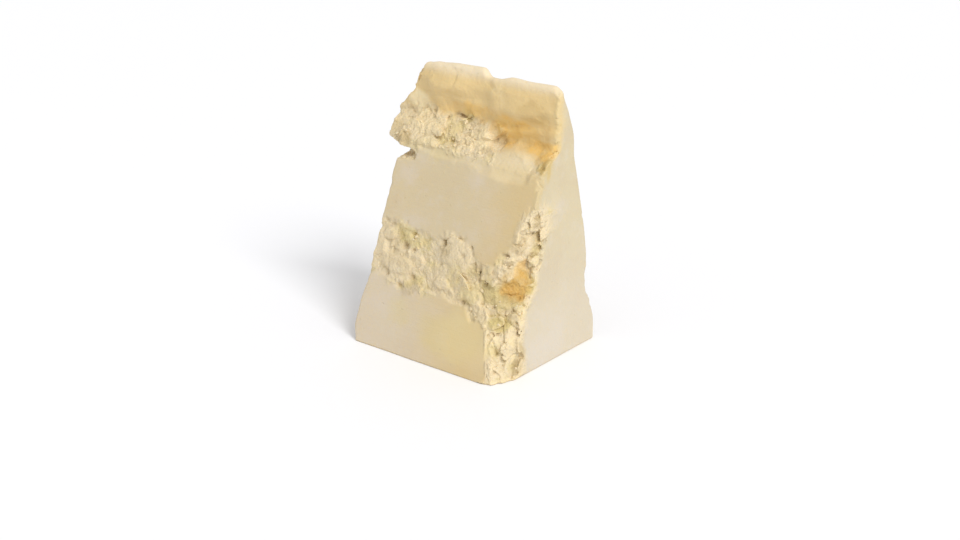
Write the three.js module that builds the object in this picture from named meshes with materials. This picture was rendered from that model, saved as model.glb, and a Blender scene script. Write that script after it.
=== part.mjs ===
// A wedge of hard grating cheese, standing on its rind with the tip of the wedge up.
// X runs across the wheel, from one flat side to the other. Y runs along the rind. Z is up.
import * as THREE from "three";
import { ImprovedNoise } from "three/addons/math/ImprovedNoise.js";

// Driving sizes, in millimetres.
const WIDTH = 87.5;
const CHORD = 75;
const HEIGHT = 132.5;
const TIP_BEHIND = 7.7; // how far the tip lies behind the middle of the base
const RIDGE_THICK = 4.4; // least thickness of the paste at the tip
const RIDGE_FLAT = 0.17; // share of that thickness which the rounded ridge leaves flat
const RIDGE_ROUND = 3;
const BASE_ROUND = 1.6;
const CORNER_ROUND = 2.4;
const CORNER_SHARE = 0.8; // most of a narrow half width that a rounded corner takes
const BACK_BULGE = 4.2;

// How fine the lattice is: cells across X, Y and Z.
const CELLS = { x: 26, y: 14, z: 48 };
const EDGE_CROWDING = 0.45; // 0 spaces the cells evenly, 1 crowds them hard towards the corners

// The outline of the left side, as [height, distance from the middle plane].
const LEFT_SIDE = [
  [0, 44.4], [8, 46.6], [18, 46.1], [28, 44.7], [56, 43.4], [65, 42.4], [78, 42],
  [88, 41], [101, 44.6], [112, 46.2], [118, 43.4], [125, 39.9], [HEIGHT, 36.2],
];
// The tip's ridge, as [X, rise above the nominal height].
const RIDGE_LINE = [
  [-41, -4], [-34, -1.8], [-28, -0.9], [-16, 0], [-1, 0.4], [4, -3], [8, -2.9], [16, -1.2], [42, -1],
];
// The back face near its right edge, as [height, how far it stands out], and where that begins.
const BACK_EDGE = [
  [0, 0.3], [11, 1.2], [19, -0.2], [27, -2.2], [35, -2.8], [41, -0.8],
  [60, 0.2], [95, 0.4], [109, 3], [118, 2.5], [127, 1.2], [HEIGHT, 0],
];
const BACK_EDGE_STARTS = { from: 14, full: 38 };

// The scoop where a chunk was levered off below the tip, as [height, depth into the front face].
const SCOOP_LEFT = [[88, 0], [93, 1], [100, 3.2], [113, 7.4], [119, 4], [126, 1.4], [HEIGHT, 0.4]];
const SCOOP_LIP = [[83, 0], [92, 1.4], [98, 3.6], [103, 8.4], [110, 6.2], [120, 1.8], [HEIGHT, 0]];
const SCOOP_RIGHT = [[94, 0], [97, 1], [102, 7.6], [110, 5.2], [120, 1.8], [HEIGHT, 0]];
const SCOOP_STEPS = { leftEnds: 2, lipStarts: 11, lipEnds: 34, rightStarts: 41 };
const SCOOP_TORN = { low: 92, high: 114, fade: 4 };

// Round swellings (rise above 0) and hollows (below 0) of the front face.
const SWELLINGS = [
  { x: -20, height: 124, alongX: 20, alongZ: 10, rise: 3 }, // left mound of the scoop's back wall
  { x: 22, height: 120, alongX: 20, alongZ: 11, rise: 2.4 }, // its right mound
  { x: -14, height: 112, alongX: 12, alongZ: 4, rise: -1.5 }, // groove under the left mound
  { x: -2, height: 111, alongX: 5, alongZ: 6, rise: -2 },
  { x: 15, height: 103, alongX: 10, alongZ: 6, rise: -2.2 }, // deepest hollow of the scoop
  { x: 35, height: 100, alongX: 7, alongZ: 5, rise: -2 },
  { x: 8, height: 50, alongX: 9, alongZ: 11, rise: 1 }, // flake left standing in the torn band
  { x: 36.5, height: 43.5, alongX: 8, alongZ: 8.5, rise: -2.8 }, // hollow of the crumbled corner
];

// The lump left standing out to the left, and the chip out of the corner below it.
const LEDGE = { low: 93.5, full: 96, shoulder: 103, high: 115, out: 5.8, reach: 20 };
const NOTCH = { height: 90, half: 3.8, alongX: 12, alongY: 14 };

// The crumbled front right corner, as [height, run along X] and [height, run along Y].
const CORNER_X = [[0, 5], [8, 8], [22, 11], [36, 13], [50, 12], [60, 7], [72, 4.5], [79, 0]];
const CORNER_Y = [
  [0, 14], [8, 15.5], [20, 11], [31, 9.5], [39, 13.5], [47, 12.5],
  [52, 17.5], [59, 13], [66, 12], [74, 9], [79, 0],
];
const LEAST_RUN = 0.01; // a shorter run leaves the corner whole

// The torn band across the front face, half way up.
const BAND = { low: 30, high: 58, fade: 5, depth: 0.8 };

// Broken paste is rough, cut paste is only slightly wavy.
const ROUGH = { height: 2, pitch: 7.5, level: 0.5, crease: 2, small: 0.6 };
const WAVE = { height: 0.3, pitch: 34, fine: 0.5 };
// Each face reads its own slice of the noise, so that no two are alike.
const SLICE = { torn: 0, corner: 45, front: 90, back: 180, left: 270, right: 360 };
const CUT_PASTE = 0xe0d0a8;

const noise = new ImprovedNoise();
const { smoothstep, clamp, lerp } = THREE.MathUtils;

// Value at `at` of a smooth curve through [place, value] pairs.
function along(curve, at) {
  if (at <= curve[0][0]) return curve[0][1];
  for (let i = 1; i < curve.length; i++) {
    const [from, low] = curve[i - 1];
    const [to, high] = curve[i];
    if (at <= to) return lerp(low, high, smoothstep(at, from, to));
  }
  return curve[curve.length - 1][1];
}

// 1 at the middle, falling smoothly to 0 at `half` away.
function bump(distance, half) {
  return 1 - smoothstep(Math.abs(distance), 0, half);
}

// 1 between low and high, falling smoothly to 0 outside them.
function stretch(at, { low, high, fade }) {
  return smoothstep(at, low - fade, low + fade) * (1 - smoothstep(at, high - fade, high + fade));
}

// Soft waves of a cut face.
function waves(x, y, z, { height, pitch, fine }) {
  const broad = noise.noise(x / pitch, y / pitch, z / pitch);
  return height * (broad + fine * noise.noise((2 * x) / pitch, (2 * y) / pitch, (2 * z) / pitch));
}

// Lumps of broken paste with sharp creases between them.
function lumps(x, y, z, { height, pitch, level, crease, small }) {
  const broad = Math.abs(noise.noise(x / pitch, y / pitch, z / pitch));
  const fine = noise.noise((2 * x) / pitch, (2 * y) / pitch, (2 * z) / pitch);
  return height * (level - crease * broad + small * fine);
}

function scoopDepth(x, z) {
  const lip = smoothstep(x, SCOOP_STEPS.leftEnds, SCOOP_STEPS.lipStarts);
  const right = smoothstep(x, SCOOP_STEPS.lipEnds, SCOOP_STEPS.rightStarts);
  return lerp(lerp(along(SCOOP_LEFT, z), along(SCOOP_LIP, z), lip), along(SCOOP_RIGHT, z), right);
}

// How far a round swelling stands out at (x, z).
function swelling(x, z, { x: middle, height, alongX, alongZ, rise }) {
  return rise * bump(Math.hypot((x - middle) / alongX, (z - height) / alongZ), 1);
}

function frontFace(x, z) {
  const plane = -CHORD / 2 + (z * (TIP_BEHIND + CHORD / 2)) / HEIGHT;
  const inBand = stretch(z, BAND);
  const torn = Math.max(inBand, stretch(z, SCOOP_TORN));
  const swellings = SWELLINGS.reduce((sum, each) => sum + swelling(x, z, each), 0);
  const relief = torn * lumps(x, SLICE.torn, z, ROUGH) + waves(x, SLICE.front, z, WAVE);
  return plane + scoopDepth(x, z) + inBand * BAND.depth + relief - swellings;
}

function backFace(x, z) {
  const plane = CHORD / 2 - (z * (CHORD / 2 - TIP_BEHIND)) / HEIGHT;
  const bulge = BACK_BULGE * Math.sin(Math.PI * clamp(z / HEIGHT, 0, 1));
  const atEdge = smoothstep(x, BACK_EDGE_STARTS.from, BACK_EDGE_STARTS.full);
  return plane + bulge + along(BACK_EDGE, z) * atEdge + waves(x, SLICE.back, z, WAVE);
}

function leftFace(y, z) {
  const behindFront = y - frontFace(-WIDTH / 2, z);
  const rise = smoothstep(z, LEDGE.low, LEDGE.full) * (1 - smoothstep(z, LEDGE.shoulder, LEDGE.high));
  const ledge = LEDGE.out * rise * bump(behindFront, LEDGE.reach);
  return -along(LEFT_SIDE, z) - ledge + waves(SLICE.left, y, z, WAVE);
}

function rightFace(y, z) {
  return WIDTH / 2 + waves(SLICE.right, y, z, WAVE);
}

// How far a face steps back near a rounded edge that lies `away` from it.
function edgeInset(away, radius) {
  const inside = clamp(radius - away, 0, radius);
  return radius - Math.sqrt(radius * radius - inside * inside);
}

// A push that shaves a corner off along a straight run: half of each run, fading along both faces.
function cornerPush(awayX, awayY, z, runX, runY) {
  if (runX < LEAST_RUN || runY < LEAST_RUN) return [0, 0];
  const share = clamp(1 - awayX / runX - awayY / runY, 0, 1) / 2;
  const ragged = lumps(awayX - awayY, SLICE.corner, z, ROUGH) * share;
  return [runX * share + ragged, runY * share + ragged];
}

// Crowds evenly spaced places from -1 to 1 towards both ends.
function crowd(place) {
  return lerp(place, Math.sin((place * Math.PI) / 2), EDGE_CROWDING);
}

// Moves a point of the square from -1 to 1 onto a square with rounded corners.
function roundCorners(u, v, halfX, halfY) {
  const radius = Math.min(CORNER_ROUND, CORNER_SHARE * halfX, CORNER_SHARE * halfY);
  const x = u * halfX;
  const y = v * halfY;
  const innerX = clamp(x, radius - halfX, halfX - radius);
  const innerY = clamp(y, radius - halfY, halfY - radius);
  const length = Math.hypot(x - innerX, y - innerY);
  if (length < Number.EPSILON) return [u, v];
  const reach = Math.max(Math.abs(x - innerX), Math.abs(y - innerY)) / length;
  return [(innerX + (x - innerX) * reach) / halfX, (innerY + (y - innerY) * reach) / halfY];
}

// Takes a point of the cube from -1 to 1 to its place on the wedge.
function place(point) {
  const acrossX = crowd(point.x);
  const acrossY = crowd(point.y);
  const guessX = (acrossX * WIDTH) / 2;
  const top = HEIGHT + along(RIDGE_LINE, guessX);
  const z = (top * (point.z + 1)) / 2;
  const inset = edgeInset(z, BASE_ROUND);
  const topInset = edgeInset(top - z, RIDGE_ROUND);

  const front = frontFace(guessX, z);
  const back = Math.max(backFace(guessX, z), front + RIDGE_THICK);
  const middle = (front + back) / 2;
  const pinch = ((1 - RIDGE_FLAT) * RIDGE_THICK * topInset) / (2 * RIDGE_ROUND);
  const halfY = (back - front) / 2 - inset - pinch;
  const guessY = middle + acrossY * halfY;
  const left = leftFace(guessY, z) + inset + topInset;
  const right = rightFace(guessY, z) - inset - topInset;
  const halfX = (right - left) / 2;
  const [u, v] = roundCorners(acrossX, acrossY, halfX, halfY);
  const x = (left + right) / 2 + u * halfX;
  const y = middle + v * halfY;

  const behindFront = y - (middle - halfY);
  const open = bump(z - NOTCH.height, NOTCH.half);
  const atLeft = cornerPush(x - left, behindFront, z, NOTCH.alongX * open, NOTCH.alongY * open);
  const atRight = cornerPush(right - x, behindFront, z, along(CORNER_X, z), along(CORNER_Y, z));
  return new THREE.Vector3(x + atLeft[0] - atRight[0], y + atLeft[1] + atRight[1], z);
}

function wedgeGeometry() {
  const geometry = new THREE.BoxGeometry(2, 2, 2, CELLS.x, CELLS.y, CELLS.z);
  const positions = geometry.attributes.position;
  for (let i = 0; i < positions.count; i++) {
    const moved = place(new THREE.Vector3().fromBufferAttribute(positions, i));
    positions.setXYZ(i, moved.x, moved.y, moved.z);
  }
  geometry.deleteAttribute("uv");
  geometry.computeBoundingBox();
  const { min, max } = geometry.boundingBox;
  geometry.translate(-(min.x + max.x) / 2, -(min.y + max.y) / 2, -min.z);
  geometry.computeVertexNormals();
  return geometry;
}

const paste = new THREE.MeshStandardMaterial({ color: CUT_PASTE, roughness: 0.6, metalness: 0 });
const wedge = new THREE.Mesh(wedgeGeometry(), paste);
wedge.name = "cheese_wedge";

const cheese = new THREE.Group();
cheese.name = "pecorino_wedge";
cheese.add(wedge);

export default cheese;
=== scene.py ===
"""A tall wedge of hard sheep's milk grating cheese, standing on its rind with the tip up."""

import math

import bmesh
import bpy
import numpy as np
from bpy.props import FloatProperty, FloatVectorProperty, IntProperty, PointerProperty
from mathutils import Matrix, Vector


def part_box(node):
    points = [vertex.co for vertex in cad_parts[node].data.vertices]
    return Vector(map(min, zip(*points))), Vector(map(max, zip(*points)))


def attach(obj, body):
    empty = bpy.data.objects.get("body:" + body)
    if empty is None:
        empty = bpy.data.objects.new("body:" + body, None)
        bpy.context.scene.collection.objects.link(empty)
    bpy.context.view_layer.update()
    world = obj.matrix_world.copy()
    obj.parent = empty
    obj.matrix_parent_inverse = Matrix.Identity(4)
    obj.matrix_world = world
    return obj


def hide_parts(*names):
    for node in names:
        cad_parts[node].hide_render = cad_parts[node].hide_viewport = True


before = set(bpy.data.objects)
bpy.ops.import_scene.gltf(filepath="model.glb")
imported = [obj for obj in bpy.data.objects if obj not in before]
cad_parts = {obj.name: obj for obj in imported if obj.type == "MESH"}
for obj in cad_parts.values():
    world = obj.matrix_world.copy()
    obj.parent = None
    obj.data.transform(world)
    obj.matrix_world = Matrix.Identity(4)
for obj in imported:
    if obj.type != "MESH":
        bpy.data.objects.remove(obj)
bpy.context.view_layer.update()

bl_info = {
    "name": "Grating cheese wedge",
    "version": (1, 0, 0),
    "blender": (4, 5, 0),
    "location": "View3D > Sidebar > Cheese",
    "description": "Builds a broken wedge of hard grating cheese, its crumbs and a plain studio",
    "category": "Object",
}

NODE = "cheese_wedge"
CAD_LOW, CAD_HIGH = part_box(NODE)
MM = 0.001
SEED = 7

# The wedge, in millimetres. X runs across the wheel, Y along the rind from the large cut face, Z up.
HALF_WIDTH = 43.75
CHORD = 75.0
HEIGHT = 132.5
TIP_BEHIND = 7.7
BACK_BULGE = 4.2
LEAST_THICK = 4.0
SLOPE = (TIP_BEHIND + CHORD / 2) / HEIGHT

# The corners of the grid that the surface is found on, a little beyond the wedge.
GRID_LOW = (-HALF_WIDTH - 9, -CHORD / 2 - 3, -2.0)
GRID_HIGH = (HALF_WIDTH + 3, CHORD / 2 + 4, HEIGHT + 5.0)

# Curves through (place, size) pairs: the left side by height, and the tip's ridge along X.
LEFT_SIDE = (
    (0, 44.4), (8, 46.6), (18, 46.1), (28, 44.7), (37, 44.6), (47, 43.3), (56, 43.2), (65, 42.4),
    (78, 42), (88, 41), (101, 44.8), (112, 46.2), (118, 43.4), (125, 39.9), (132.5, 36.2),
)
RIDGE = (
    (-41, -4), (-34, -1.8), (-28, -0.9), (-16, 0), (-2.2, 0.4),
    (3.6, -3), (8, -2.9), (16, -1.2), (25, -1.5), (39, -1.1), (44, -2.8),
)

# How deep the scoop below the tip goes into the large face, by height, along three runs of X.
SCOOP_LEFT = ((88, -1.5), (93, 1.0), (100, 3.2), (111.5, 6.7), (119, 4), (126, 1.4), (132.5, 0.4))
SCOOP_LIP = ((83, -1.5), (92, 1.4), (98, 3.6), (103, 8.4), (110, 6.2), (120, 1.8), (132.5, -1.2))
SCOOP_RIGHT = ((94, -1.5), (97, 1), (102, 7.6), (110, 5.2), (120, 1.8), (132.5, -1.5))
# Where its curves begin, how far they wander up and down, and the share of breaking that its lip loses.
SCOOP_FOOT = 80
SCOOP_DRIFT = 3.0
SCOOP_CALM = 0.75

# Swellings and sinks of the large face: X, height, half width, half height, depth (minus stands out).
SWELLS = (
    (-20, 124, 20, 10, -3.0), (22, 120, 20, 11, -2.4), (15, 103, 10, 6, 1.5), (35, 100, 7, 5, 2.0),
    (-13, 110.5, 11, 4, 0.5), (-2, 111, 5, 6, 1.1), (7, 121, 8, 9, -0.7),
)
PITS = (
    (-22, 54, 3.1, 2.6, 2.2), (-26, 48, 4.0, 3.4, 2.0), (-21, 47, 2.4, 2.0, 1.4), (-3, 54.5, 3.1, 2.6, 1.8),
    (9, 51.5, 2.4, 2.0, 1.4), (20.3, 45.5, 2.2, 6.0, 1.6), (24.5, 42, 3.0, 2.0, 1.2),
    (-18, 35, 3.6, 2.6, 1.6), (-25, 30.5, 3.1, 2.0, 1.4), (-7.3, 108.3, 3.1, 2.6, 1.3),
    (-13, 98, 2.9, 2.4, 2.2), (5, 33, 2.4, 2.0, 1.2), (14, 31, 2.2, 1.8, 1.2), (33, 56, 2.4, 2.0, 1.8),
    (36, 30, 3.6, 3.0, 1.6), (31, 33, 2.4, 2.0, 1.4), (40.5, 95.5, 4.5, 3.2, 2.6),
)
# Smoother flakes left in the torn band: X, height, half width, half height; then how far they stand out
# and the share of breaking that they lose.
BAND_FLAKES = ((8, 50.5, 10, 11), (-28, 39.5, 15, 6), (-36, 52, 6, 4), (20, 35, 7, 5), (0, 37, 7, 4))
FLAKE_RISE = 1.1
FLAKE_CALM = 0.6

# The torn band across the large face: its upper and lower limit along X, and its depth.
BAND_TOP = (
    (-46, 57), (-30, 58), (-10, 57), (0, 60), (7, 61), (12, 57),
    (17, 52.5), (27, 52), (31, 58), (37, 64), (41, 77), (46, 78),
)
BAND_LOW = (
    (-46, 32), (-36, 33), (-28, 28.5), (-10, 29), (1, 32), (8, 30.5),
    (15, 29), (25, 25), (31, 21), (35, 6), (37, -3), (46, -6),
)
BAND_SINK = 0.8

# The crumbled front right corner: how far it runs along X and along Y, by height.
CORNER_X = ((0, 4.4), (8, 7), (22, 10.3), (36, 12.6), (50, 12), (60, 7), (72, 4.5), (79, 0.2))
CORNER_Y = (
    (0, 12), (8, 13), (20, 9.3), (31, 8.8), (39, 12.8), (47, 11.4),
    (52, 12.8), (59, 10.8), (66, 11.8), (74, 10.6), (79, 0.2),
)
# Hollows and tufts of the crumbled corner: X, height, half width, half height, depth (minus stands out).
CORNER_RELIEF = (
    (39, 48.5, 4.5, 6, 2.0), (35.5, 41.5, 8, 6, 2.6), (41, 73, 4, 5, -1.2), (42.5, 59, 2.6, 7, 0.4),
    (37.5, 63, 3.0, 5, -1.2), (36, 34, 8, 4.5, -0.8), (38.5, 19, 4, 8, -1.5), (35, 9, 3.5, 6, -1.0),
    (39.5, 12, 2.4, 9, 0.7), (41, 17, 2.6, 10, -1.0),
)
# Creases along the crumbled corner, each through (X, height) points, then their size, their depth and how
# strongly painted shade darkens them.
CREASES = (
    ((38.5, 67.5), (40.8, 64), (41.2, 59.5), (40.6, 55.5), (38.5, 51.5)),
    ((42.1, 27), (42.9, 18), (42.5, 10), (42.9, 2)),
    ((33.5, 37.5), (37, 35.5), (40, 37)),
)
CREASE_HALF = 1.9
CREASE_DEPTH = 1.6
CREASE_SHADE = 0.25
# How much more the corner's middle flakes stand out, by height.
CORNER_EXTRA = ((0, 0.7), (24, 0.7), (36, 0.4), (50, 0.7), (72, 0.8))
# The smooth hollow in the crumbled corner: X, height, half width, half height, share of its flakes lost.
SMOOTH_HOLLOW = (35, 41.5, 11, 9, 0.6)

# The torn parts of the back face: a band that tapers off, and the tip's and the foot's far corners.
BACK_BAND_TOP = ((-32, 70), (-24, 72), (-12, 69), (4, 62), (18, 53), (32, 50), (46, 48))
BACK_BAND_LOW = ((-32, 72), (-18, 63), (-4, 53), (10, 45), (24, 33), (36, 24), (46, 19))
BACK_TIP = ((-46, 99), (-38, 105), (-28, 116), (-18, 128), (-10, 138))
BACK_FOOT = ((-46, 27), (-38, 21), (-32, 9), (-27, -3))
BACK_SINK = 1.2
# The chip off the far foot corner: Y, height, half depth, half height, how deep.
FAR_FOOT_CHIP = (34, 4, 10, 24, 9)
# How far the back face's right hand edge stands out or is chipped in, by height.
BACK_EDGE = (
    (0, 0.9), (11, 1.8), (19, 0.4), (27, -2.3), (35, -3.1), (41, -1), (48, -0.2),
    (60, 0.2), (95, 0.4), (109, 3), (118, 2.5), (127, 1.2), (132.5, 0),
)

# The ledge that stands out to the left, and the torn slot under it.
LEDGE = {"low": 92.7, "high": 115, "out": 6.4, "reach": 20, "margin": 1}
NOTCH = {"height": 89.6, "along_x": 10.2, "along_y": 13.0, "drift": 1.2, "spread": 6}

# Edges between the wedge's sides: how round they are, and how deep and how often they are nicked.
EDGE_ROUND = {"tip": 2.4, "right": 0.9, "left": 1.2, "ridge": 2.0, "corner": 0.4, "foot": 0.9}
CHIPS = {"depth": 2.2, "rarity": 0.32, "least": 0.25}

# The slight waviness of the cut faces: its size, its height on each side, and the noise between sides.
WAVE_SIZE = 34
WAVES = {"front": 0.35, "back": 0.5, "left": 0.35, "right": 0.25}
WAVES_APART = 60.0

# Wandering offsets, by the size of their waves and a seed, with finer wander as a share of both.
WANDER = {
    "scoop": (22, SEED + 30), "torn": (7, SEED + 5), "notch": (9, SEED + 46),
    "left chips": (9, SEED + 40), "right chips": (9, SEED + 43),
}
FINER_SIZE = 0.43
FINER_STRENGTH = 0.6
# How far the wander frays the limits of things.
FRAY = {"band": 3.0, "scoop low": 2.5, "scoop high": 2, "back torn": 3.6, "tan": 2, "warm_glow": 5}

# Broken paste: three sizes of flake, each by its share of the largest and the depth of its seams.
FLAKE_SIZES = ((1, 0.3), (0.42, 0.12), (0.19, 0.05))
FLAKE = {"tilt": 0.5, "step": 0.34, "scatter": 0.34, "crisp": 38, "least": 1e-9}
# How the flakes are bent and how their vigour varies: strength, and size against the largest flake.
BEND = (0.07, 0.75)
VIGOUR = (0.45, 2.2)
# How far breakage reaches, against the flakes' depth and against that on a face, and from what tornness.
BREAK_REACH = 1.5
FACE_REACH = 1.5
BARELY_TORN = 0.02
# How strongly parts break, against the corner, and the deepest dent in the left side.
BREAKS = {"band": 0.75, "scoop wall": 0.22, "left": 0.5, "ledge": 0.8, "notch": 1.3}
LEFT_DENT = 0.3

# Rounds of averaging that find thin points, small hollows and broad dips, and how often points are blunted.
ROUNDS = {"spike": 5, "cavity": 12, "dip": 80}
BLUNTINGS = 2

# The painted warm glow near the front edge, where light from the lit right side shines through the paste: its
# limits along X at the foot, and their shift higher up.
WARM_GLOW_STARTS = (-30, 36)
WARM_GLOW_ENDS = (26, 12)
# Shares of colour lost: of the painted warm glow higher up, and of the tan wall's colour, partly painted
# glow, where it is crumbly.
WARM_GLOW_LOST = 0.1
TAN_LOST = 0.8
# How much of its depth below the ridge counts when paste is found to lie inside the wedge.
RIDGE_SHARE = 0.5

# Ranges over which things fade in, in millimetres or in levels of a mask or texture.
FADES = {
    "scoop drift": (84, 98), "scoop lip": (2, 11), "scoop right": (34, 41), "scoop wall": (84, 96),
    "scoop low": (91, 94), "scoop high": (107, 112), "scoop calm": (13, 16), "band": (-0.8, 2.0),
    "calm": (0.1, 0.5), "spike": (0.22, 0.6), "slot": (1.25, 4.25), "back edge": (14, 38),
    "back torn": (-0.6, 1.4), "back thick": (2 * LEAST_THICK, 3 * LEAST_THICK),
    "back right": (HALF_WIDTH - 5, HALF_WIDTH - 1), "back depth": (-4.5, -2.5), "back left": (0.4, 1.4),
    "ledge low": (LEDGE["low"], 95), "ledge high": (104, LEDGE["high"]), "ledge out": (0.3, 2.5),
    "ledge foot": (90, 93), "notch end": (-40, -30), "notch depth": (12, 16), "front depth": (2.5, 5.0),
    "corner depth": (-2.8, -1.2), "corner top": (77, 79), "buried": (1.0, 1.8), "tan": (95, 103),
    "rim_highlight": (HEIGHT - 7, HEIGHT - 1), "upper": (40, 62), "above cut": (92, 96), "foot": (12, 75),
    "side": (HALF_WIDTH - 2.5, HALF_WIDTH - 0.8), "rind": (0.1, 0.5), "pale": (0.5, 0.68),
    "deep": (0.5, 0.32), "clouds": (0.52, 0.7), "specks": (0.45, 0.75), "open": (0.6, 0.65),
    "pinhole": (0.16, 0.08), "dip": (0.1, 1.5), "rise": (-0.1, -1.5), "hollow": (0.1, 0.9),
    "tuft": (-0.1, -0.9),
}

# Patches of colour: X, Y, height, half width, half height, strength.
SPOTS = {
    # Painted amber glow: light that bounces in hollows and shines through thin paste near the edges.
    "amber_glow": (
        (17, 7, 108.5, 14, 9.5, 1.0), (27, 5.5, 106.3, 11, 7, 0.8), (35.5, 4.5, 101.7, 10.5, 7, 1.0),
        (32, 7, 112, 13, 8, 0.4), (9, 5, 118, 7, 8, 0.25), (0, 7, 112, 9, 6, 0.55),
        (-6, 7.5, 112.5, 7, 5, 0.8), (-18, 8.5, 111.5, 12, 4, 0.35), (38.3, -13, 47, 5.5, 6.5, 0.65),
        (36.3, -14.5, 41.8, 8.5, 8.5, 1.0), (35, 1.5, 98, 6, 4.5, 0.5), (42, -1.5, 96.7, 5, 4, 0.6),
    ),
    # Olive patches: duller yellow paste, and in part painted shade in pits, under the ledge and under the
    # scoop's hook.
    "olive": (
        (35.6, -21, 36, 10, 5, 0.6), (35, -26, 27.3, 8, 5.5, 0.85), (14, -31, 16, 24, 14, 0.4),
        (41.5, -11.5, 42, 4, 8, 0.9), (28, -22.5, 38.5, 9, 7, 0.6), (17, -24, 36, 8, 7, 0.4),
        (-20, -30, 20, 10, 9, 0.3), (-20, -6, 94, 22, 5, 0.25), (41.5, -1, 96.5, 5, 4.5, 0.8),
        (-9, 6, 109.5, 5, 4, 0.6), (-18, -25, 35, 9, 3, 0.45), (-25, -18, 53, 8, 6, 0.45),
    ),
    # Painted shade: these patches darken creases, pits, the underside of the ledge and the corner edge that
    # the key light catches.
    "shade": (
        (-6.7, 6.3, 108.8, 5, 4, 0.35), (-10.2, -1.8, 98, 4, 4, 0.5), (30, 6, 103.5, 10, 5, 0.25),
        (8, 0, 98, 6, 4, 0.5), (30, 4.4, 119, 11, 7, 0.35), (43.9, -19, 14, 3, 10, 0.6),
        (42.3, -22.4, 5, 4, 4.5, 0.6), (28, -22.5, 38.5, 8, 6, 0.3), (37.5, -14.5, 61.5, 5, 7, 0.5),
        (34, -16.5, 49, 5, 4, 0.3), (35.5, -22, 36.5, 8, 4, 0.5), (34, -26.5, 27, 7, 5, 0.3),
        (43.2, -6.5, 72, 4, 5, 0.6), (34, 1.5, 98, 7, 5, 0.25), (42, -11.5, 43, 3.5, 7, 0.35),
        (-39.6, -4.6, 95, 9, 4, 0.7), (-48, 0, 99, 7, 7, 0.35), (41.7, -1.3, 96.5, 5, 5, 0.5),
        (35.3, -15.5, 42, 10, 8.5, 0.55), (40.6, -6, 61, 4, 7, 0.15), (20.4, -20.5, 44.5, 3, 9, 0.5),
        (-29.7, -17.7, 49, 9, 6, 0.3), (-26, -22.5, 40.5, 11, 4.5, 0.2), (-18, -26, 32.5, 9, 4, 0.35),
        (-2, -18, 52, 5, 4, 0.4), (36, -23.5, 31.4, 9, 6, 0.45),
    ),
    # Painted light: these patches brighten tufts as if lit and lighten shaded places, such as the left
    # shoulder and the valley between the mounds.
    "painted_light": (
        (41, -13, 73, 7, 7, 0.1), (24, -31, 16, 26, 15, 0.2), (34.5, -29, 15, 5, 9, 0.15),
        (35.5, -28, 18.5, 3.5, 3.5, 0.8), (42, -19.5, 31.2, 3.5, 5, 1.0), (40.2, -24, 15, 3.5, 11, 1.0),
        (24, -5, 93, 15, 9, 0.35), (2, -1, 102.5, 9, 5.5, 0.6), (-38, 8, 111, 9, 6, 1.0),
        (9, 5, 120, 7, 9, 0.35), (-28, 0, 104, 12, 6, 0.45), (40, -20, 53, 6, 5, 0.4),
    ),
}
# How steep the patches' edges are, and how their outlines stray: how far, over what size, and a seed.
SPOT_EDGE = 2.2
SPOT_DRIFTS = ((2.6, 8, SEED + 50), (1.2, 2.6, SEED + 51))

# How strongly layers of colour cover the ones before them.
COVER = {
    "warm_glow": 0.72, "foot": 0.5, "dip": 0.7, "rise": 0.6, "hollow": 0.6, "tuft": 0.5,
    "Pinholes": 0.3, "Specks": 0.18,
}
# Mottled pastes and the mottled painted amber glow: their colour, paler and deeper patches, and the
# mottling's scale and strength.
MOTTLES = {
    "cut": ("cut", "pale", "grey", 34.0, 0.55), "torn": ("torn", "tuft", "olive", 85.0, 0.6),
    "amber_glow": ("amber_glow", "tan", "deep", 150.0, 0.6), "rind": ("rind", "cut", "tan", 60.0, 0.5),
    "crumbs": ("torn", "tuft", "tan", 260.0, 0.8),
}
# The grain's scale and coarse share, and its height on cut and torn faces.
GRAINS = {"cut": (1500.0, 1.2), "torn": (900.0, 1.6), "crumbs": (1300.0, 1.4)}
RELIEF = {"cut": 0.12, "torn": 0.8, "knife lines": 2.0, "pinholes": 1.2}
# Scales of textures as shares of their group's scale, and how much the clouds cover.
SCALES = {"clouds": 5.3, "coarse": 0.37, "holes": 0.17}
CLOUD_COVER = 0.5
# Light goes a little way into the paste before it comes out again.
WAXY = {
    "Subsurface Weight": 0.12, "Subsurface Radius": (1.0, 0.75, 0.4), "Subsurface Scale": 0.0011,
    "Specular IOR Level": 0.35,
}

# Crumbs: least size and its range, how rare large ones are, their lumps, their length and how high they sit.
CRUMB = {
    "least": 0.14, "range": 0.3, "rarity": 4, "lumps": 0.28, "most": 1.2, "length": (0.6, 1.25), "lift": 0.1,
}
# Where they rest: how torn the paste is, how much painted amber glow it may have, how far it overhangs, and
# how often outside hollows.
REST = {"torn": 0.85, "amber_glow": 0.1, "overhang": 0.35, "outside": 0.2}

# The key light's place and spread, in degrees, and how much the floor's faint clouds dim it.
KEY = {"azimuth": 73, "elevation": 42, "spread": 25}
FLOOR_DIMMING = 0.99


# ---------------------------------------------------------------- curves and noise


def smooth(t):
    t = np.clip(t, 0, 1)
    return t * t * (3 - 2 * t)


def ramp(value, start, end):
    """0 before start, 1 after end, smooth in between."""
    return smooth((value - start) / (end - start))


def fade(name, value):
    """0 before the named range, 1 after it."""
    return ramp(value, *FADES[name])


def along(curve, at):
    """The smooth curve through (place, size) pairs, at the given places."""
    places, sizes = np.array(curve, float).T
    i = np.clip(np.searchsorted(places, at) - 1, 0, len(places) - 2)
    share = smooth((at - places[i]) / (places[i + 1] - places[i]))
    return (sizes[i] + (sizes[i + 1] - sizes[i]) * share).astype(np.float32)


def bump(distance):
    """1 at 0, falling to 0 at a distance of 1."""
    return 1 - smooth(np.abs(distance))


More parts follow.
